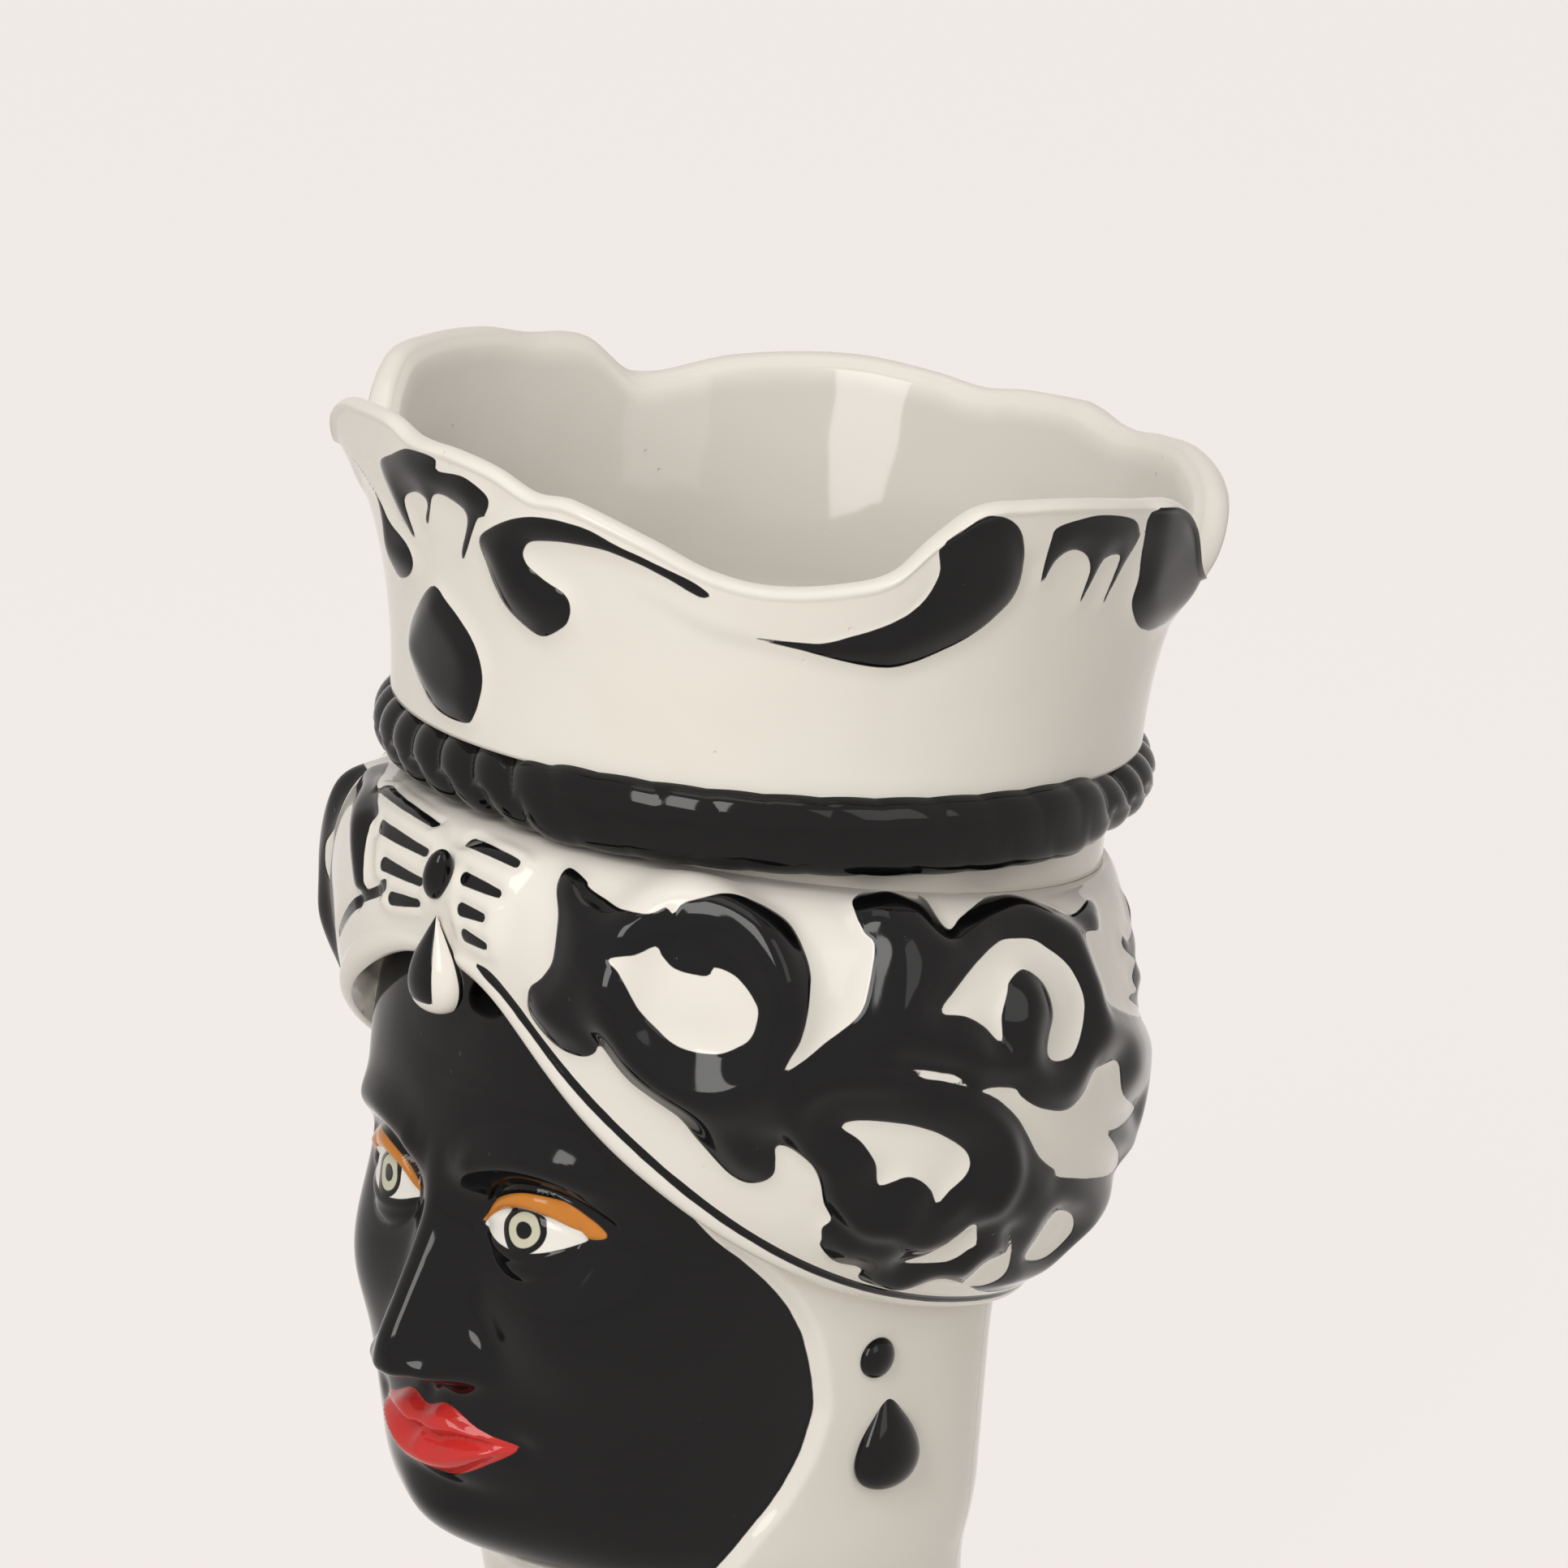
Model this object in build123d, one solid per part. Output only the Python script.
"""Face vase: a glazed earthenware head with a turban, a rope band and an open crown.

Millimetres. The origin is the middle of the underside, +Z is up, the face looks to -Y
and the sitter's left is +X. A turn is an angle about the upright axis, 0 at the front
and 90 degrees at the sitter's left.
"""

from build123d import *
from math import asin, atan2, cos, degrees, exp, hypot, pi, radians, sin, tan
import os

os.makedirs("parts", exist_ok=True)

# Clay
SHELL_WALL = 7.0
FLOOR_THICKNESS = 7.0
OVERRUN = 30.0

# Head and neck
CHIN_HEIGHT = 80.0
FACE_HEIGHT = 120.0
HEAD_HALF_WIDTH = 56.0
HEAD_FORWARD = 10.0
FACE_DEPTH = 76.0
NAPE_DEPTH = 46.0
EYE_SPAN = 19.6
SEAM_SETBACK = 16.0
THROAT_SHARE = 0.9
HEM_LAP = 6.0

# Neck outline, as shares: height of the chin, half width, depth forward, depth back
NECK_SHARES = (
    (0.00, 0.93, 0.66, 1.10),
    (0.06, 0.96, 0.68, 1.13),
    (0.16, 0.91, 0.63, 1.07),
    (0.40, 0.81, 0.55, 0.97),
    (0.66, 0.82, 0.57, 0.98),
    (0.82, 0.86, 0.62, 1.00),
    (0.92, 0.90, 0.76, 1.02),
)

# Head outline, as shares: height of the face, half width, depth forward, depth back
HEAD_SHARES = (
    (0.00, 0.92, 0.88, 1.04),
    (0.06, 0.93, 0.94, 1.05),
    (0.16, 0.95, 0.96, 1.06),
    (0.33, 0.98, 0.97, 1.08),
    (0.55, 1.00, 0.97, 1.10),
    (0.75, 1.00, 0.96, 1.10),
    (0.90, 0.98, 0.90, 1.06),
    (1.08, 0.93, 0.78, 1.00),
)

# Soft features, as shares of the eye span across, of the face height up, and of the eye
# span for their half width, half height and rise out of the face
FEATURE_SHARES = (
    (0.00, 0.62, 0.28, 0.50, 0.20),
    (0.00, 0.50, 0.32, 0.45, 0.40),
    (0.00, 0.385, 0.38, 0.36, 0.74),
    (0.40, 0.360, 0.24, 0.26, 0.34),
    (1.00, 0.675, 0.80, 0.24, 0.18),
    (1.00, 0.585, 0.66, 0.44, -0.26),
    (1.65, 0.43, 0.75, 0.70, 0.20),
    (0.00, 0.235, 0.95, 0.60, 0.24),
    (0.00, 0.130, 0.65, 0.22, -0.12),
    (0.00, 0.062, 0.72, 0.50, 0.26),
)

# Eyes: a ball set into each socket, as shares of the eye span
EYE_SHARE = 0.585
EYEBALL_RADIUS_SHARE = 0.60
EYEBALL_DEPTH_SHARE = 0.40

# Rolls of the lids round an eye's middle and of the lips round the mouth's middle, as
# shares of the eye span across and up, then of the roll's radius
LID_RADIUS = 1.5
UPPER_LID_SHARES = (
    (-0.58, -0.08, 0.40),
    (-0.34, 0.14, 0.90),
    (0.02, 0.25, 1.10),
    (0.36, 0.16, 1.00),
    (0.66, -0.03, 0.40),
)
LOWER_LID_SHARES = (
    (-0.52, -0.10, 0.35),
    (-0.26, -0.20, 0.75),
    (0.04, -0.24, 0.85),
    (0.34, -0.17, 0.70),
    (0.58, -0.05, 0.35),
)
MOUTH_SHARE = 0.222
LIP_RADIUS = 3.3
UPPER_LIP_SHARES = (
    (-0.96, 0.02, 0.20),
    (-0.60, 0.10, 0.60),
    (-0.24, 0.19, 0.95),
    (0.00, 0.15, 0.95),
    (0.24, 0.19, 0.95),
    (0.60, 0.10, 0.60),
    (0.96, 0.02, 0.20),
)
LOWER_LIP_SHARES = (
    (-0.92, -0.03, 0.20),
    (-0.52, -0.14, 0.75),
    (-0.20, -0.22, 1.15),
    (0.20, -0.22, 1.15),
    (0.52, -0.14, 0.75),
    (0.92, -0.03, 0.20),
)
LIP_SINK_SHARE = 0.35

# Turban, round its own upright axis a little forward of the vase's
TURBAN_FORWARD = 11.0
TURBAN_HALF_WIDTH = 86.0
TURBAN_FRONT = 72.0
TURBAN_BACK = 78.0
HEM_PEAK_HEIGHT = CHIN_HEIGHT + FACE_HEIGHT
HEM_NAPE_ABOVE_CHIN = 32.0
HEM_NAPE_HEIGHT = CHIN_HEIGHT + HEM_NAPE_ABOVE_CHIN
TURBAN_BELLY_BELOW_HEM = 17.5
TURBAN_BELLY_HEIGHT = HEM_PEAK_HEIGHT - TURBAN_BELLY_BELOW_HEM
TURBAN_BELLY_TILT = 15.0
TURBAN_CORE = 30.0
HEM_SPREAD = 44.0
HEM_THICKNESS = 4.0
HEM_BULGE = 2.0
TURBAN_MERIDIANS = 13
MERIDIAN_POINTS = 5
HOLLOW_MERIDIANS = 7
HOLLOW_MERIDIAN_POINTS = 3

# Collar, rope and crown, on one axis that leans back
CROWN_LEAN = 6.0
COLLAR_FOOT_ABOVE_BELLY = 30.0
COLLAR_FOOT_HEIGHT = TURBAN_BELLY_HEIGHT + COLLAR_FOOT_ABOVE_BELLY
CROWN_SEAT_ABOVE_COLLAR_FOOT = 18.5
CROWN_SEAT_HEIGHT = COLLAR_FOOT_HEIGHT + CROWN_SEAT_ABOVE_COLLAR_FOOT
COLLAR_RADIUS = 67.0
COLLAR_BORE_RADIUS = 59.0
COLLAR_FOOT_TILT = 11.0
COLLAR_FOOT_SETBACK = 8.0
COLLAR_FOOT_RADIUS = 68.0
COLLAR_LENGTH = 40.0

ROPE_RADIUS = 7.2
ROPE_RING_RADIUS = 68.4
ROPE_FLAT = 1.0
ROPE_TWISTS = 44
ROPE_GROOVE_DEPTH = 1.5
ROPE_GROOVE_ANGLE = 80.0
ROPE_GROOVE_LEAN = 34.0

CROWN_FOOT_RADIUS = 72.6
CROWN_RIM_RADIUS = 85.5
CROWN_HEIGHT = 59.2
CROWN_WALL = 4.5
CROWN_FLANGE_HEIGHT = 9.0
CROWN_FLARE_POWER = 1.7
CROWN_PROFILE_POINTS = 6
RIM_POINTS = 90

# Rim height, as shares: half turn from the front, crown height; cut by eye, so its two
# sides differ
RIM_SHARES = (
    (-1.000, 0.905),
    (-0.940, 0.897),
    (-0.903, 0.880),
    (-0.860, 0.905),
    (-0.790, 0.928),
    (-0.700, 0.897),
    (-0.615, 0.832),
    (-0.575, 0.950),
    (-0.520, 0.972),
    (-0.480, 1.000),
    (-0.415, 1.000),
    (-0.370, 0.975),
    (-0.340, 0.900),
    (-0.310, 0.790),
    (-0.270, 0.780),
    (-0.235, 0.860),
    (-0.190, 0.950),
    (-0.130, 1.000),
    (-0.080, 1.005),
    (-0.050, 0.970),
    (0.000, 0.962),
    (0.035, 0.938),
    (0.068, 0.885),
    (0.100, 0.884),
    (0.160, 0.800),
    (0.205, 0.722),
    (0.250, 0.690),
    (0.305, 0.712),
    (0.340, 0.760),
    (0.365, 0.880),
    (0.390, 0.955),
    (0.430, 0.965),
    (0.480, 0.969),
    (0.535, 0.956),
    (0.575, 0.940),
    (0.610, 0.860),
    (0.645, 0.700),
    (0.675, 0.640),
    (0.710, 0.690),
    (0.770, 0.830),
    (0.840, 0.892),
    (0.900, 0.880),
    (0.940, 0.863),
    (1.000, 0.905),
)

# Scroll path on the crown, as shares: turn from the lobe's middle in degrees is the
# first share of SCROLL_REACH, then the crown height, then the roll's radius
SCROLL_REACH = 40.0
SCROLL_RADIUS = 5.2
SCROLL_SHARES = (
    (0.26, 0.50, 0.85),
    (0.18, 0.60, 0.80),
    (0.21, 0.72, 0.75),
    (0.34, 0.79, 0.75),
    (0.56, 0.76, 0.60),
    (0.78, 0.68, 0.38),
    (1.00, 0.60, 0.12),
)
COMMA_SHARES = (
    (0.44, 0.84, 1.00),
    (0.42, 0.72, 1.10),
    (0.54, 0.60, 0.90),
    (0.72, 0.53, 0.60),
    (0.92, 0.50, 0.34),
    (1.12, 0.51, 0.12),
)

# Palmette petals: a fan of tapered rolls below each lobe's top
PETAL_FOOT_SHARE = 0.66
PETAL_TIP_SHARE = 0.90
PETAL_RADIUS = 3.4
PETAL_FOOT_RADIUS = 1.2
PETAL_SPREAD = 9.0
PETAL_FAN_DROP_SHARE = 0.03

# A domed drop's outline, as shares: height of its length from the middle, half width
DROP_SHARES = (
    (0.36, 0.30),
    (0.16, 0.62),
    (-0.06, 0.93),
    (-0.24, 1.00),
    (-0.42, 0.66),
)

# Cabochon drop on the crown's front
DROP_HEIGHT_SHARE = 0.42
DROP_LENGTH = 27.0
DROP_WIDTH = 15.0
DROP_RISE = 4.6

# Turban ornament
ROSETTE_TURN = 44.0
ROSETTE_ABOVE_BELLY = 19.5
ROSETTE_HEIGHT = TURBAN_BELLY_HEIGHT + ROSETTE_ABOVE_BELLY
ROSETTE_RADIUS = 15.5
ROSETTE_ROLL_RADIUS = 5.0

CURL_TURN = 91.0
CURL_ABOVE_BELLY = 11.5
CURL_HEIGHT = TURBAN_BELLY_HEIGHT + CURL_ABOVE_BELLY
CURL_RADIUS = 20.0
CURL_ROLL_RADIUS = 5.0

# Paths of rolls on the turban, as shares of the path's radius across and up, then of
# the roll's radius
ROSETTE_SHARES = (
    (-1.02, 0.62, 0.40),
    (-1.06, 0.05, 0.75),
    (-0.72, -0.72, 1.00),
    (0.00, -1.05, 1.00),
    (0.78, -0.74, 1.00),
    (1.08, 0.00, 1.00),
    (0.80, 0.74, 0.95),
    (0.10, 1.00, 0.85),
    (-0.50, 0.70, 0.60),
    (-0.42, 0.22, 0.35),
)
CURL_SHARES = (
    (-1.50, 0.95, 0.50),
    (-1.42, 0.45, 0.70),
    (-0.85, 0.75, 0.85),
    (-0.10, 0.80, 1.00),
    (0.75, 0.55, 1.00),
    (1.05, -0.25, 0.95),
    (0.60, -1.00, 0.85),
    (-0.15, -0.85, 0.70),
    (-0.35, -0.20, 0.65),
    (0.05, 0.15, 0.60),
)

# Front knot, its bead and the forehead pendant
KNOT_ABOVE_BELLY = 33.5
KNOT_HEIGHT = TURBAN_BELLY_HEIGHT + KNOT_ABOVE_BELLY
KNOT_HALF_WIDTH = 15.0
KNOT_HALF_HEIGHT = 9.0
KNOT_RISE = 3.4
KNOT_PLEAT_SHARES = (-0.8, 0.0, 0.8)
KNOT_WING_SHARES = (0.45, 0.90, 0.70)
BEAD_RADIUS = 3.4
BEAD_LENGTH = 12.0
BEAD_RISE = 1.5
PENDANT_ABOVE_HEM = 9.0
PENDANT_HEIGHT = HEM_PEAK_HEIGHT + PENDANT_ABOVE_HEM
PENDANT_LENGTH = 21.0
PENDANT_WIDTH = 13.0
PENDANT_RISE = 5.0

# Earrings on the veil
STUD_TURN = 82.7
STUD_ABOVE_CHIN = 39.5
STUD_HEIGHT = CHIN_HEIGHT + STUD_ABOVE_CHIN
STUD_RADIUS = 3.6
STUD_RISE = 2.0
EAR_DROP_TURN = 85.8
EAR_DROP_ABOVE_CHIN = 21.5
EAR_DROP_HEIGHT = CHIN_HEIGHT + EAR_DROP_ABOVE_CHIN
EAR_DROP_LENGTH = 20.0
EAR_DROP_WIDTH = 15.0
EAR_DROP_RISE = 3.6

FINE_LEVEL_STEP = 4.0
SECTION_POINTS = 60
HOLLOW_POINTS = 24
SKIN = 0.001
FRONT_CROWDING = 0.42
PLAN_POWER = 2.4


def smooth_step_table(rows, place):
    """Values of a table of rows at a place between them, eased by a cubic."""
    if place <= rows[0][0]:
        return rows[0][1:]
    for index in range(len(rows) - 1):
        if place <= rows[index + 1][0]:
            break
    low, high = rows[index], rows[index + 1]
    before = rows[max(index - 1, 0)]
    after = rows[min(index + 2, len(rows) - 1)]
    span = high[0] - low[0]
    t = min((place - low[0]) / span, 1)
    values = []
    for a, b, c, d in zip(before[1:], low[1:], high[1:], after[1:]):
        slope_low = (c - a) / (high[0] - before[0]) * span
        slope_high = (d - b) / (after[0] - low[0]) * span
        values.append(
            b * (2 * t**3 - 3 * t**2 + 1)
            + slope_low * (t**3 - 2 * t**2 + t)
            + c * (3 * t**2 - 2 * t**3)
            + slope_high * (t**3 - t**2)
        )
    return values


def head_rows():
    """Height, half width, depth forward and depth back of the head's outline."""
    neck = [
        (CHIN_HEIGHT * up, HEAD_HALF_WIDTH * wide, FACE_DEPTH * fore, NAPE_DEPTH * aft)
        for up, wide, fore, aft in NECK_SHARES
    ]
    head = [
        (CHIN_HEIGHT + FACE_HEIGHT * up, HEAD_HALF_WIDTH * wide, FACE_DEPTH * fore, NAPE_DEPTH * aft)
        for up, wide, fore, aft in HEAD_SHARES
    ]
    return neck + head


def feature_rise(across, height):
    """How far the nose, brows, eyes, cheeks, lips and chin stand out at a place."""
    rise = 0
    for side, up, half_width, half_height, proud in FEATURE_SHARES:
        level = CHIN_HEIGHT + FACE_HEIGHT * up
        for sign in ((1, -1) if side else (1,)):
            dx = (across - sign * side * EYE_SPAN) / (half_width * EYE_SPAN)
            dz = (height - level) / (half_height * EYE_SPAN)
            rise += proud * EYE_SPAN * exp(-dx * dx - dz * dz)
    return rise


def head_point(turn, height, grow=0):
    """A point of the head's surface; grow moves it out all round."""
    half_width, fore, aft = smooth_step_table(head_rows(), height)
    depth = fore if cos(turn) > 0 else aft
    power = 2 / PLAN_POWER
    across = (half_width + grow) * abs(sin(turn)) ** power * (1 if sin(turn) > 0 else -1)
    along = (depth + grow) * abs(cos(turn)) ** power * (1 if cos(turn) > 0 else -1)
    if along > 0 and not grow:
        along += feature_rise(across, height) * min(1, 2 * along / depth)
    return Vector(across, -HEAD_FORWARD - along, height)


def even_spline(points, closed=False):
    """A smooth curve through points that are evenly spaced along its parameter."""
    spans = len(points) if closed else len(points) - 1
    parameters = [k / spans for k in range(spans + 1)]
    return Edge.make_spline(points, periodic=closed, parameters=parameters)


def face_point(across, height, sink=0):
    """A point of the face at a distance from its middle, moved in by a little."""
    half_width = smooth_step_table(head_rows(), height)[0]
    turn = asin(min(abs(across) / half_width, 1) ** (PLAN_POWER / 2))
    if across < 0:
        turn = -turn
    return head_point(turn, height) + Vector(0, sink, 0)


def face_roll(centre, shares, radius, sink_share=0):
    """A tapered roll on the face round a place given as (across, height)."""
    points, radii = [], []
    for across, up, thick in shares:
        x = centre[0] + EYE_SPAN * across * (-1 if centre[0] < 0 else 1)
        radii.append(radius * thick)
        points.append(face_point(x, centre[1] + EYE_SPAN * up, sink_share * radii[-1]))
    return tapered_roll(points, radii)


def face_details():
    """Eyeballs, lids and lips that stand on the soft face."""
    eye_height = CHIN_HEIGHT + EYE_SHARE * FACE_HEIGHT
    mouth = (0, CHIN_HEIGHT + MOUTH_SHARE * FACE_HEIGHT)
    details = []
    for side in (-1, 1):
        eye = (side * EYE_SPAN, eye_height)
        middle = face_point(*eye, EYEBALL_DEPTH_SHARE * EYE_SPAN)
        details.append(Solid.make_sphere(EYEBALL_RADIUS_SHARE * EYE_SPAN, Plane(middle)))
        details.append(face_roll(eye, UPPER_LID_SHARES, LID_RADIUS))
        details.append(face_roll(eye, LOWER_LID_SHARES, LID_RADIUS))
    details.append(face_roll(mouth, UPPER_LIP_SHARES, LIP_RADIUS, LIP_SINK_SHARE))
    details.append(face_roll(mouth, LOWER_LIP_SHARES, LIP_RADIUS, LIP_SINK_SHARE))
    return details


def head_form():
    """The head, neck and foot as one solid, lofted through level outlines."""
    rows = head_rows()
    throat = THROAT_SHARE * CHIN_HEIGHT
    heights = [row[0] for row in rows if row[0] < throat]
    rise = rows[-1][0] - throat
    fine = int(rise / FINE_LEVEL_STEP)
    heights += [throat + rise * k / fine for k in range(fine + 1)]
    sections = []
    for height in heights:
        points = []
        for k in range(SECTION_POINTS):
            even = 2 * pi * k / SECTION_POINTS
            turn = even - FRONT_CROWDING * sin(even)
            points.append(head_point(turn, height))
        sections.append(Wire([even_spline(points, closed=True)]))
    return (Solid.make_loft(sections) + face_details()).solid()


def head_hollow():
    """The space inside the head and neck, a wall's thickness in from the plain outline."""
    rows = head_rows()
    sections = []
    for height in [row[0] for row in rows]:
        points = [
            head_point(2 * pi * k / HOLLOW_POINTS, height, -SHELL_WALL)
            for k in range(HOLLOW_POINTS)
        ]
        sections.append(Wire([even_spline(points, closed=True)]))
    return Solid.make_loft(sections)


def turban_radius(turn):
    """Radius of the turban's belly, an oval deeper behind than in front."""
    depth = TURBAN_FRONT if cos(turn) > 0 else TURBAN_BACK
    return 1 / hypot(sin(turn) / TURBAN_HALF_WIDTH, cos(turn) / depth)


def belly_height(turn):
    rise = turban_radius(turn) * cos(turn) * tan(radians(TURBAN_BELLY_TILT))
    return TURBAN_BELLY_HEIGHT + rise


def hem_height(turn):
    """The hem peaks over the forehead and sinks to the nape in a bell curve."""
    away = abs(atan2(sin(turn), cos(turn))) / radians(HEM_SPREAD)
    lowest = 1 / (1 + (pi / radians(HEM_SPREAD)) ** 2)
    share = (1 / (1 + away**2) - lowest) / (1 - lowest)
    return HEM_NAPE_HEIGHT + (HEM_PEAK_HEIGHT - HEM_NAPE_HEIGHT) * share


def collar_foot(turn):
    """Radius and height, about the turban's axis, where the collar stands on it."""
    aside = COLLAR_FOOT_SETBACK * sin(turn)
    radius = (COLLAR_FOOT_RADIUS**2 - aside**2) ** 0.5 - COLLAR_FOOT_SETBACK * cos(turn)
    return radius, collar_foot_height(radius * cos(turn))


def collar_foot_height(forward):
    return COLLAR_FOOT_HEIGHT + forward * tan(radians(COLLAR_FOOT_TILT))


def head_radius(turn, height):
    """Radius of the plain head about the turban's axis."""
    rows = smooth_step_table(head_rows(), height)
    depth = rows[1] if cos(turn) > 0 else rows[2]
    across = abs(sin(turn)) / rows[0]
    along = abs(cos(turn)) / depth
    return (across**PLAN_POWER + along**PLAN_POWER) ** (-1 / PLAN_POWER)


def on_turban(radius, turn, height):
    return Vector(radius * sin(turn), -TURBAN_FORWARD - radius * cos(turn), height)


def turban_point(turn, lift, grow=0):
    """A point of the turban: lift is -90 degrees at the hem, 0 at the belly, 90 on top."""
    hem_radius = head_radius(turn, hem_height(turn)) + HEM_THICKNESS
    belly = max(turban_radius(turn), hem_radius + HEM_BULGE) + grow
    middle = belly_height(turn)
    if lift > 0:
        end, limit = collar_foot(turn)
    else:
        limit = hem_height(turn) - (HEM_LAP + SHELL_WALL) * grow / SHELL_WALL
        end = head_radius(turn, limit) + HEM_THICKNESS
    end += grow
    lift = radians(lift)
    radius = end + (belly - end) * cos(lift)
    return on_turban(radius, turn, middle + abs(limit - middle) * sin(lift))


def turban_meridian(turn, grow, points):
    """Half outline of the turban in one upright plane, closed at its core."""
    step = 90 / (points - 1)
    lower = [turban_point(turn, step * k - 90, grow) for k in range(points)]
    upper = [turban_point(turn, step * k, grow) for k in range(points)]
    low, high = lower[0], upper[-1]
    core_low = on_turban(TURBAN_CORE, turn, low.Z)
    core_high = on_turban(TURBAN_CORE, turn, collar_foot_height(TURBAN_CORE * cos(turn)))
    return Wire([
        even_spline(lower),
        even_spline(upper),
        Edge.make_line(high, core_high),
        Edge.make_line(core_high, core_low),
        Edge.make_line(core_low, low),
    ])


def turban_form(grow=0, meridians=TURBAN_MERIDIANS, points=MERIDIAN_POINTS):
    """The whole pillow of the turban, lofted round one side and mirrored."""
    turns = [pi * k / (meridians - 1) for k in range(meridians)]
    half = Solid.make_loft([turban_meridian(turn, grow, points) for turn in turns])
    return (half + half.mirror(Plane.YZ)).solid()


def crown_place(part):
    return Location((0, 0, CROWN_SEAT_HEIGHT), (-CROWN_LEAN, 0, 0)) * part


def ring_section(points):
    """A solid turned from an outline of (radius, height) points about the upright axis."""
    wire = Wire.make_polygon([Vector(r, 0, z) for r, z in points], close=True)
    return Solid.revolve(Face(wire), 360, Axis.Z)


def collar_form(inner, outer):
    return ring_section([(inner, -COLLAR_LENGTH), (outer, -COLLAR_LENGTH), (outer, 0), (inner, 0)])


def above_collar_foot():
    """Everything above the tilted plane on which the collar stands."""
    size = 2 * (TURBAN_HALF_WIDTH + OVERRUN)
    block = Solid.make_box(size, size, size).locate(Location((-size / 2, -size / 2, 0)))
    place = Location((0, -TURBAN_FORWARD, COLLAR_FOOT_HEIGHT), (-COLLAR_FOOT_TILT, 0, 0))
    return place * block


def rope_form():
    """A twisted rope ring: a round roll with slanting grooves, flat where the crown sits."""
    centre = ROPE_FLAT - ROPE_RADIUS
    roll = Solid.make_torus(ROPE_RING_RADIUS, ROPE_RADIUS, Plane((0, 0, centre)))
    deep = ROPE_RING_RADIUS + ROPE_RADIUS - ROPE_GROOVE_DEPTH
    wide = deep + OVERRUN
    spread = OVERRUN * tan(radians(ROPE_GROOVE_ANGLE / 2))
    wedge = Wire.make_polygon([
        Vector(deep, 0, 0), Vector(wide, -spread, 0), Vector(wide, spread, 0),
    ])
    groove = Solid.extrude(Face(wedge), Vector(0, 0, 4 * ROPE_RADIUS))
    groove = groove.moved(Location((0, 0, -2 * ROPE_RADIUS)))
    groove = Location((0, 0, centre), (ROPE_GROOVE_LEAN, 0, 0)) * groove
    grooves = [
        Location((0, 0, 0), (0, 0, 360 * k / ROPE_TWISTS)) * groove for k in range(ROPE_TWISTS)
    ]
    above = collar_form(0, COLLAR_RADIUS + OVERRUN).moved(Location((0, 0, COLLAR_LENGTH)))
    return roll - [collar_form(0, COLLAR_RADIUS), above, *grooves]


def crown_radius(height):
    share = max(height / CROWN_HEIGHT, 0)
    return CROWN_FOOT_RADIUS + (CROWN_RIM_RADIUS - CROWN_FOOT_RADIUS) * share**CROWN_FLARE_POWER


def crown_profile(grow):
    """Flared side of the crown, from its foot to a little above the rim."""
    step = (CROWN_HEIGHT + CROWN_WALL) / (CROWN_PROFILE_POINTS - 1)
    heights = [step * k for k in range(CROWN_PROFILE_POINTS)]
    return [Vector(crown_radius(height) + grow, 0, height) for height in heights]


def crown_solid():
    """The crown's outer form without its hollow."""
    side = crown_profile(0)
    top, foot = Vector(0, 0, side[-1].Z), Vector(0, 0, 0)
    wire = Wire([
        Edge.make_spline(side),
        Edge.make_line(side[-1], top),
        Edge.make_line(top, foot),
        Edge.make_line(foot, side[0]),
    ])
    return Solid.revolve(Face(wire), 360, Axis.Z)


def crown_hollow():
    """The crown's bowl: its inner side, a rounded shoulder and the bore of the collar."""
    side = [point for point in crown_profile(-CROWN_WALL) if point.Z > CROWN_FLANGE_HEIGHT]
    shoulder = Vector(COLLAR_BORE_RADIUS, 0, 0)
    top = Vector(0, 0, side[-1].Z + CROWN_WALL)
    edge = Vector(side[-1].X, 0, top.Z)
    wire = Wire([
        Edge.make_spline([shoulder] + side, tangents=[Vector(1, 0, 1), Vector(0, 0, 1)]),
        Edge.make_line(side[-1], edge),
        Edge.make_line(edge, top),
        Edge.make_line(top, Vector(0, 0, 0)),
        Edge.make_line(Vector(0, 0, 0), shoulder),
    ])
    return Solid.revolve(Face(wire), 360, Axis.Z)


def rim_height(turn):
    return CROWN_HEIGHT * smooth_step_table(RIM_SHARES, atan2(sin(turn), cos(turn)) / pi)[0]


def above_rim():
    """Everything over the wavy rim: a ruled wave raised into a cutter."""
    waves = []
    for radius in (CROWN_FOOT_RADIUS - OVERRUN, CROWN_RIM_RADIUS + OVERRUN):
        points = []
        for k in range(RIM_POINTS):
            turn = 2 * pi * k / RIM_POINTS
            points.append(Vector(radius * sin(turn), -radius * cos(turn), rim_height(turn)))
        waves.append(even_spline(points, closed=True))
    wave = Face.make_surface_from_curves(*waves)
    return Solid.extrude(wave, Vector(0, 0, CROWN_HEIGHT))


def crown_wall():
    return (crown_solid() - crown_hollow() - above_rim()).solid()


def on_crown(turn, height, grow=0):
    radius = crown_radius(height) + grow
    return Vector(radius * sin(turn), -radius * cos(turn), height)


def tapered_roll(points, radii):
    """A roll of clay along a path, thick and thin by the radii, closing to its two ends."""
    path = Edge.make_spline(points)
    sections = []
    for point, radius in zip(points, radii):
        along = path.tangent_at(path.param_at_point(point))
        sections.append(Wire.make_circle(radius, Plane(origin=point, z_dir=along)))
    start = points[0] - path.tangent_at(0) * radii[0]
    end = points[-1] + path.tangent_at(1) * radii[-1]
    return Solid.make_loft([Vertex(*start), *sections, Vertex(*end)])


def seated(form, *beds):
    """A form cut off where it meets its beds, so that it lies on them face to face."""
    for bed in beds:
        form = form - bed
    return max(form.solids(), key=lambda solid: solid.volume)


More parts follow.
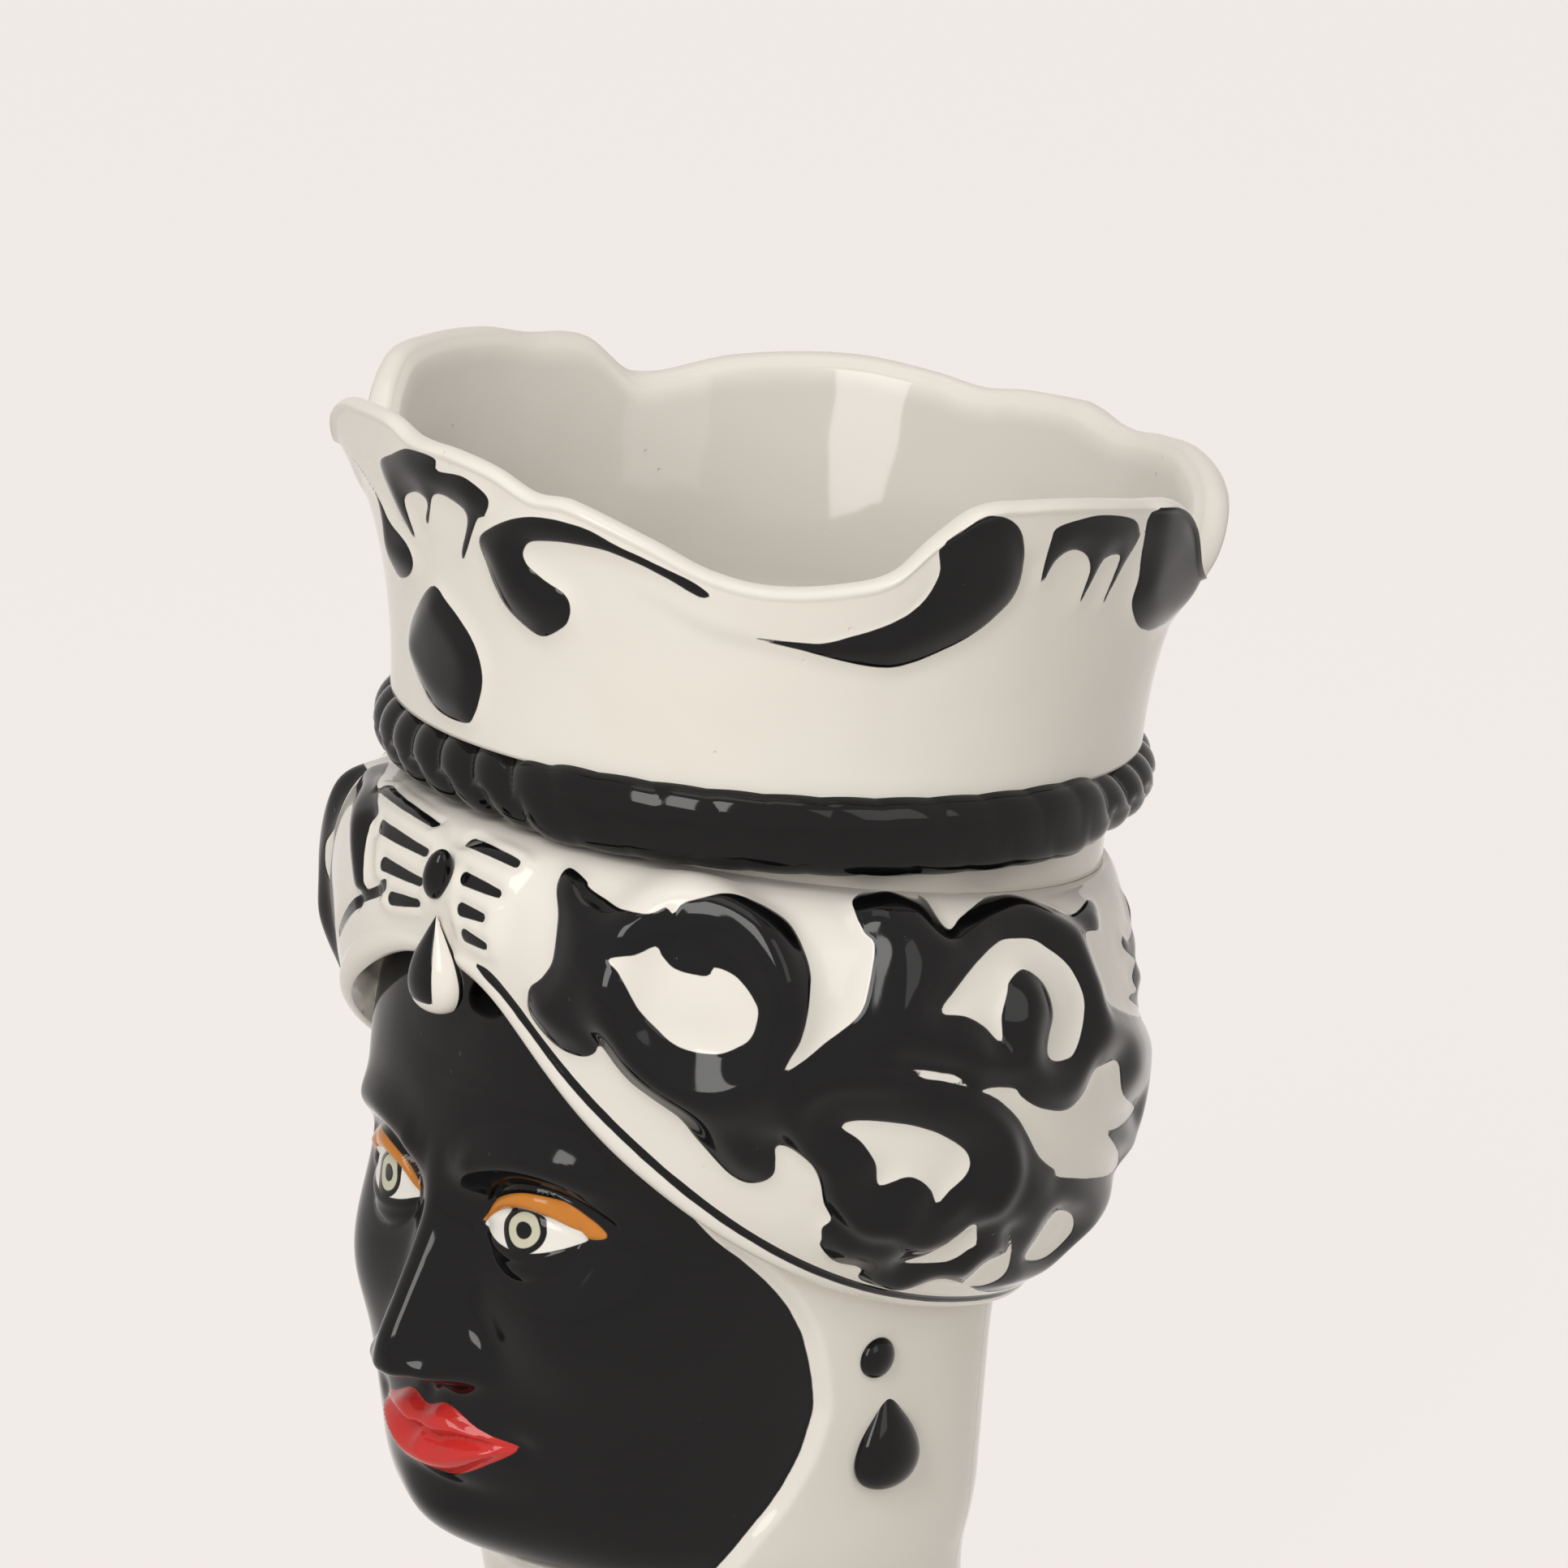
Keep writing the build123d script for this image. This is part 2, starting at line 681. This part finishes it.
def crown_roll(shares, lobe, side):
    """A scroll on the crown beside a lobe's middle, on one side of it."""
    points, radii = [], []
    for across, up, thick in shares:
        turn = lobe + side * radians(SCROLL_REACH * across)
        points.append(on_crown(turn, CROWN_HEIGHT * up))
        radii.append(SCROLL_RADIUS * thick)
    return seated(tapered_roll(points, radii), crown_solid())


def palmette(lobe):
    """Three petals that fan up to the rim at the middle of a lobe."""
    foot = on_crown(lobe, CROWN_HEIGHT * PETAL_FOOT_SHARE)
    petals = []
    for fan in (-1, 0, 1):
        turn = lobe + fan * radians(PETAL_SPREAD)
        share = PETAL_TIP_SHARE - PETAL_FAN_DROP_SHARE * abs(fan)
        tip = on_crown(turn, rim_height(turn) * share)
        lean = (tip - foot).normalized()
        cone = Solid.make_cone(
            PETAL_FOOT_RADIUS, PETAL_RADIUS, (tip - foot).length, Plane(foot, z_dir=lean)
        )
        petals += [cone, Solid.make_sphere(PETAL_RADIUS, Plane(tip))]
    return seated(petals[0] + petals[1:], crown_solid())


def teardrop(length, width, rise):
    """A domed drop, point up, wide across X and standing out to -Y by its rise."""
    sections = [Vertex(0, 0, length / 2)]
    for up, wide in DROP_SHARES:
        plane = Plane((0, 0, length * up))
        sections.append(Wire.make_ellipse(width / 2 * wide, rise * wide, plane))
    sections.append(Vertex(0, 0, -length / 2))
    return Solid.make_loft(sections)


def turban_side(turn, height, grow=0):
    """The point of the turban's side at a turn and a height."""
    middle = belly_height(turn)
    limit = collar_foot(turn)[1] if height > middle else hem_height(turn)
    share = (height - middle) / abs(limit - middle)
    return turban_point(turn, degrees(asin(max(-1, min(1, share)))), grow)


def facing(point, turn, lean=0):
    """A place at a point for a form that was made facing -Y."""
    return Location(point, (0, 0, degrees(turn))) * Location((0, 0, 0), (lean, 0, 0))


def crown_drop():
    height = CROWN_HEIGHT * DROP_HEIGHT_SHARE
    slope = crown_radius(height + DROP_LENGTH / 2) - crown_radius(height - DROP_LENGTH / 2)
    lean = degrees(atan2(slope, DROP_LENGTH))
    drop = teardrop(DROP_LENGTH, DROP_WIDTH, DROP_RISE)
    return seated(facing(on_crown(0, height), 0, lean) * drop, crown_solid())


def turban_roll(turn, height, reach, roll_radius, shares):
    """A tapered roll that winds on the turban's side round a place."""
    points, radii = [], []
    for across, up, thick in shares:
        side = radians(turn) + across * reach / TURBAN_HALF_WIDTH
        points.append(turban_side(side, height + up * reach))
        radii.append(roll_radius * thick)
    return tapered_roll(points, radii)


def rosette():
    """A roll wound once round, its tail tucked inwards."""
    return turban_roll(
        ROSETTE_TURN, ROSETTE_HEIGHT, ROSETTE_RADIUS, ROSETTE_ROLL_RADIUS, ROSETTE_SHARES
    )


def turban_curl():
    """A scroll roll that leaves the collar and winds inwards."""
    return turban_roll(CURL_TURN, CURL_HEIGHT, CURL_RADIUS, CURL_ROLL_RADIUS, CURL_SHARES)


def front_knot():
    """Two wings of three pleats each, spread over the forehead."""
    heart = turban_side(0, KNOT_HEIGHT)
    pleats = []
    for side in (-1, 1):
        for fan in KNOT_PLEAT_SHARES:
            turn = side * asin(KNOT_HALF_WIDTH / TURBAN_FRONT)
            tip = turban_side(turn, KNOT_HEIGHT + fan * KNOT_HALF_HEIGHT)
            radii = [KNOT_RISE * share for share in KNOT_WING_SHARES]
            pleats.append(tapered_roll([heart, (heart + tip) / 2, tip], radii))
    return pleats[0] + pleats[1:]


def knot_bead():
    bead = scale(Solid.make_sphere(BEAD_RADIUS), (1, 1, BEAD_LENGTH / 2 / BEAD_RADIUS))
    return Location(turban_side(0, KNOT_HEIGHT, BEAD_RISE)) * bead


def pendant():
    """The drop that hangs from the knot over the hem and the forehead."""
    drop = teardrop(PENDANT_LENGTH, PENDANT_WIDTH, PENDANT_RISE)
    return Location(head_point(0, PENDANT_HEIGHT - PENDANT_LENGTH / 2)) * drop


def on_veil(turn, height):
    return head_point(radians(turn), height, SKIN)


def ear_stud():
    stud = scale(Solid.make_sphere(STUD_RADIUS), (1, STUD_RISE / STUD_RADIUS, 1))
    return facing(on_veil(STUD_TURN, STUD_HEIGHT), pi / 2) * stud


def ear_drop():
    drop = teardrop(EAR_DROP_LENGTH, EAR_DROP_WIDTH, EAR_DROP_RISE)
    return facing(on_veil(EAR_DROP_TURN, EAR_DROP_HEIGHT), pi / 2) * drop


def pair(part):
    """A piece and its mirror image on the sitter's other side."""
    return Compound(children=[part, part.mirror(Plane.YZ)])


def above_hem():
    """Everything over the line where the head's shells end inside the turban's hem."""
    line = []
    for k in range(TURBAN_MERIDIANS):
        turn = pi * k / (TURBAN_MERIDIANS - 1)
        height = hem_height(turn)
        reach = head_radius(turn, height) * cos(turn)
        line.append(Vector(0, -TURBAN_FORWARD - reach, height + HEM_LAP))
    front = line[0] - Vector(0, OVERRUN, 0)
    back = line[-1] + Vector(0, OVERRUN, 0)
    top = CROWN_SEAT_HEIGHT + OVERRUN
    side = Wire([
        Edge.make_spline(line),
        Edge.make_line(line[-1], back),
        Edge.make_line(back, Vector(0, back.Y, top)),
        Edge.make_line(Vector(0, back.Y, top), Vector(0, front.Y, top)),
        Edge.make_line(Vector(0, front.Y, top), front),
        Edge.make_line(front, line[0]),
    ])
    half = HEAD_HALF_WIDTH + OVERRUN
    block = Solid.extrude(Face(side), Vector(2 * half, 0, 0))
    return block.moved(Location((-half, 0, 0)))


def before_seam(part):
    """The part of a form in front of the mould seam, and the part behind it."""
    size = 2 * (TURBAN_HALF_WIDTH + OVERRUN)
    block = Solid.make_box(size, size, 2 * size)
    front = block.moved(Location((-size / 2, SEAM_SETBACK - HEAD_FORWARD - size, -size / 2)))
    return seated(part & front), seated(part, front)


def floor_slab(hollow):
    """The slab that closes the neck, flush with the foot's edge."""
    size = 2 * (HEAD_HALF_WIDTH + FACE_DEPTH)
    block = Solid.make_box(size, size, FLOOR_THICKNESS)
    return seated(hollow & block.moved(Location((-size / 2, -size / 2, 0))))


def build():
    """All pieces by node name."""
    head = head_form() - above_hem()
    turban_outside = turban_form()
    turban_space = turban_form(-SHELL_WALL, HOLLOW_MERIDIANS, HOLLOW_MERIDIAN_POINTS)
    bore = crown_place(collar_form(0, COLLAR_BORE_RADIUS))
    hollow = head_hollow()
    face_shell, nape_shell = before_seam(head - hollow)
    turban = seated(turban_outside, head, hollow, turban_space, bore)
    turban_front, turban_back = before_seam(turban)
    collar = crown_place(collar_form(COLLAR_BORE_RADIUS, COLLAR_RADIUS))
    collar = seated(collar & above_collar_foot())
    parts = {
        "floor_slab": floor_slab(hollow),
        "face_shell": face_shell,
        "nape_shell": nape_shell,
        "turban_front": turban_front,
        "turban_back": turban_back,
        "collar_ring": collar,
        "rope_band": seated(crown_place(rope_form()), turban_outside),
        "crown_wall": crown_place(crown_wall()),
    }
    lobes = [pi / 2 * k for k in range(4)]
    scrolls = [crown_roll(SCROLL_SHARES, lobe, side) for lobe in lobes[::2] for side in (-1, 1)]
    commas = [crown_roll(COMMA_SHARES, lobe, side) for lobe in lobes[1::2] for side in (-1, 1)]
    petals = [seated(palmette(lobe), *scrolls, *commas) for lobe in lobes]
    parts["crown_palmettes"] = crown_place(Compound(children=petals))
    parts["crown_scrolls"] = crown_place(Compound(children=scrolls))
    parts["crown_commas"] = crown_place(Compound(children=commas))
    parts["crown_drop"] = crown_place(crown_drop())
    rope = parts["rope_band"]
    parts["rosettes"] = pair(seated(rosette(), turban_outside, rope))
    parts["turban_curls"] = pair(seated(turban_curl(), turban_outside, rope))
    knot = seated(front_knot(), turban_outside, rope, head)
    bead = seated(knot_bead(), turban_outside, knot, rope)
    parts["front_knot"] = knot
    parts["knot_bead"] = bead
    parts["forehead_pendant"] = seated(pendant(), head, turban_outside, knot, bead)
    parts["ear_studs"] = pair(seated(ear_stud(), head))
    parts["ear_drops"] = pair(seated(ear_drop(), head))
    return parts


for name, shape in build().items():
    export_step(shape, "parts/" + name + ".step")
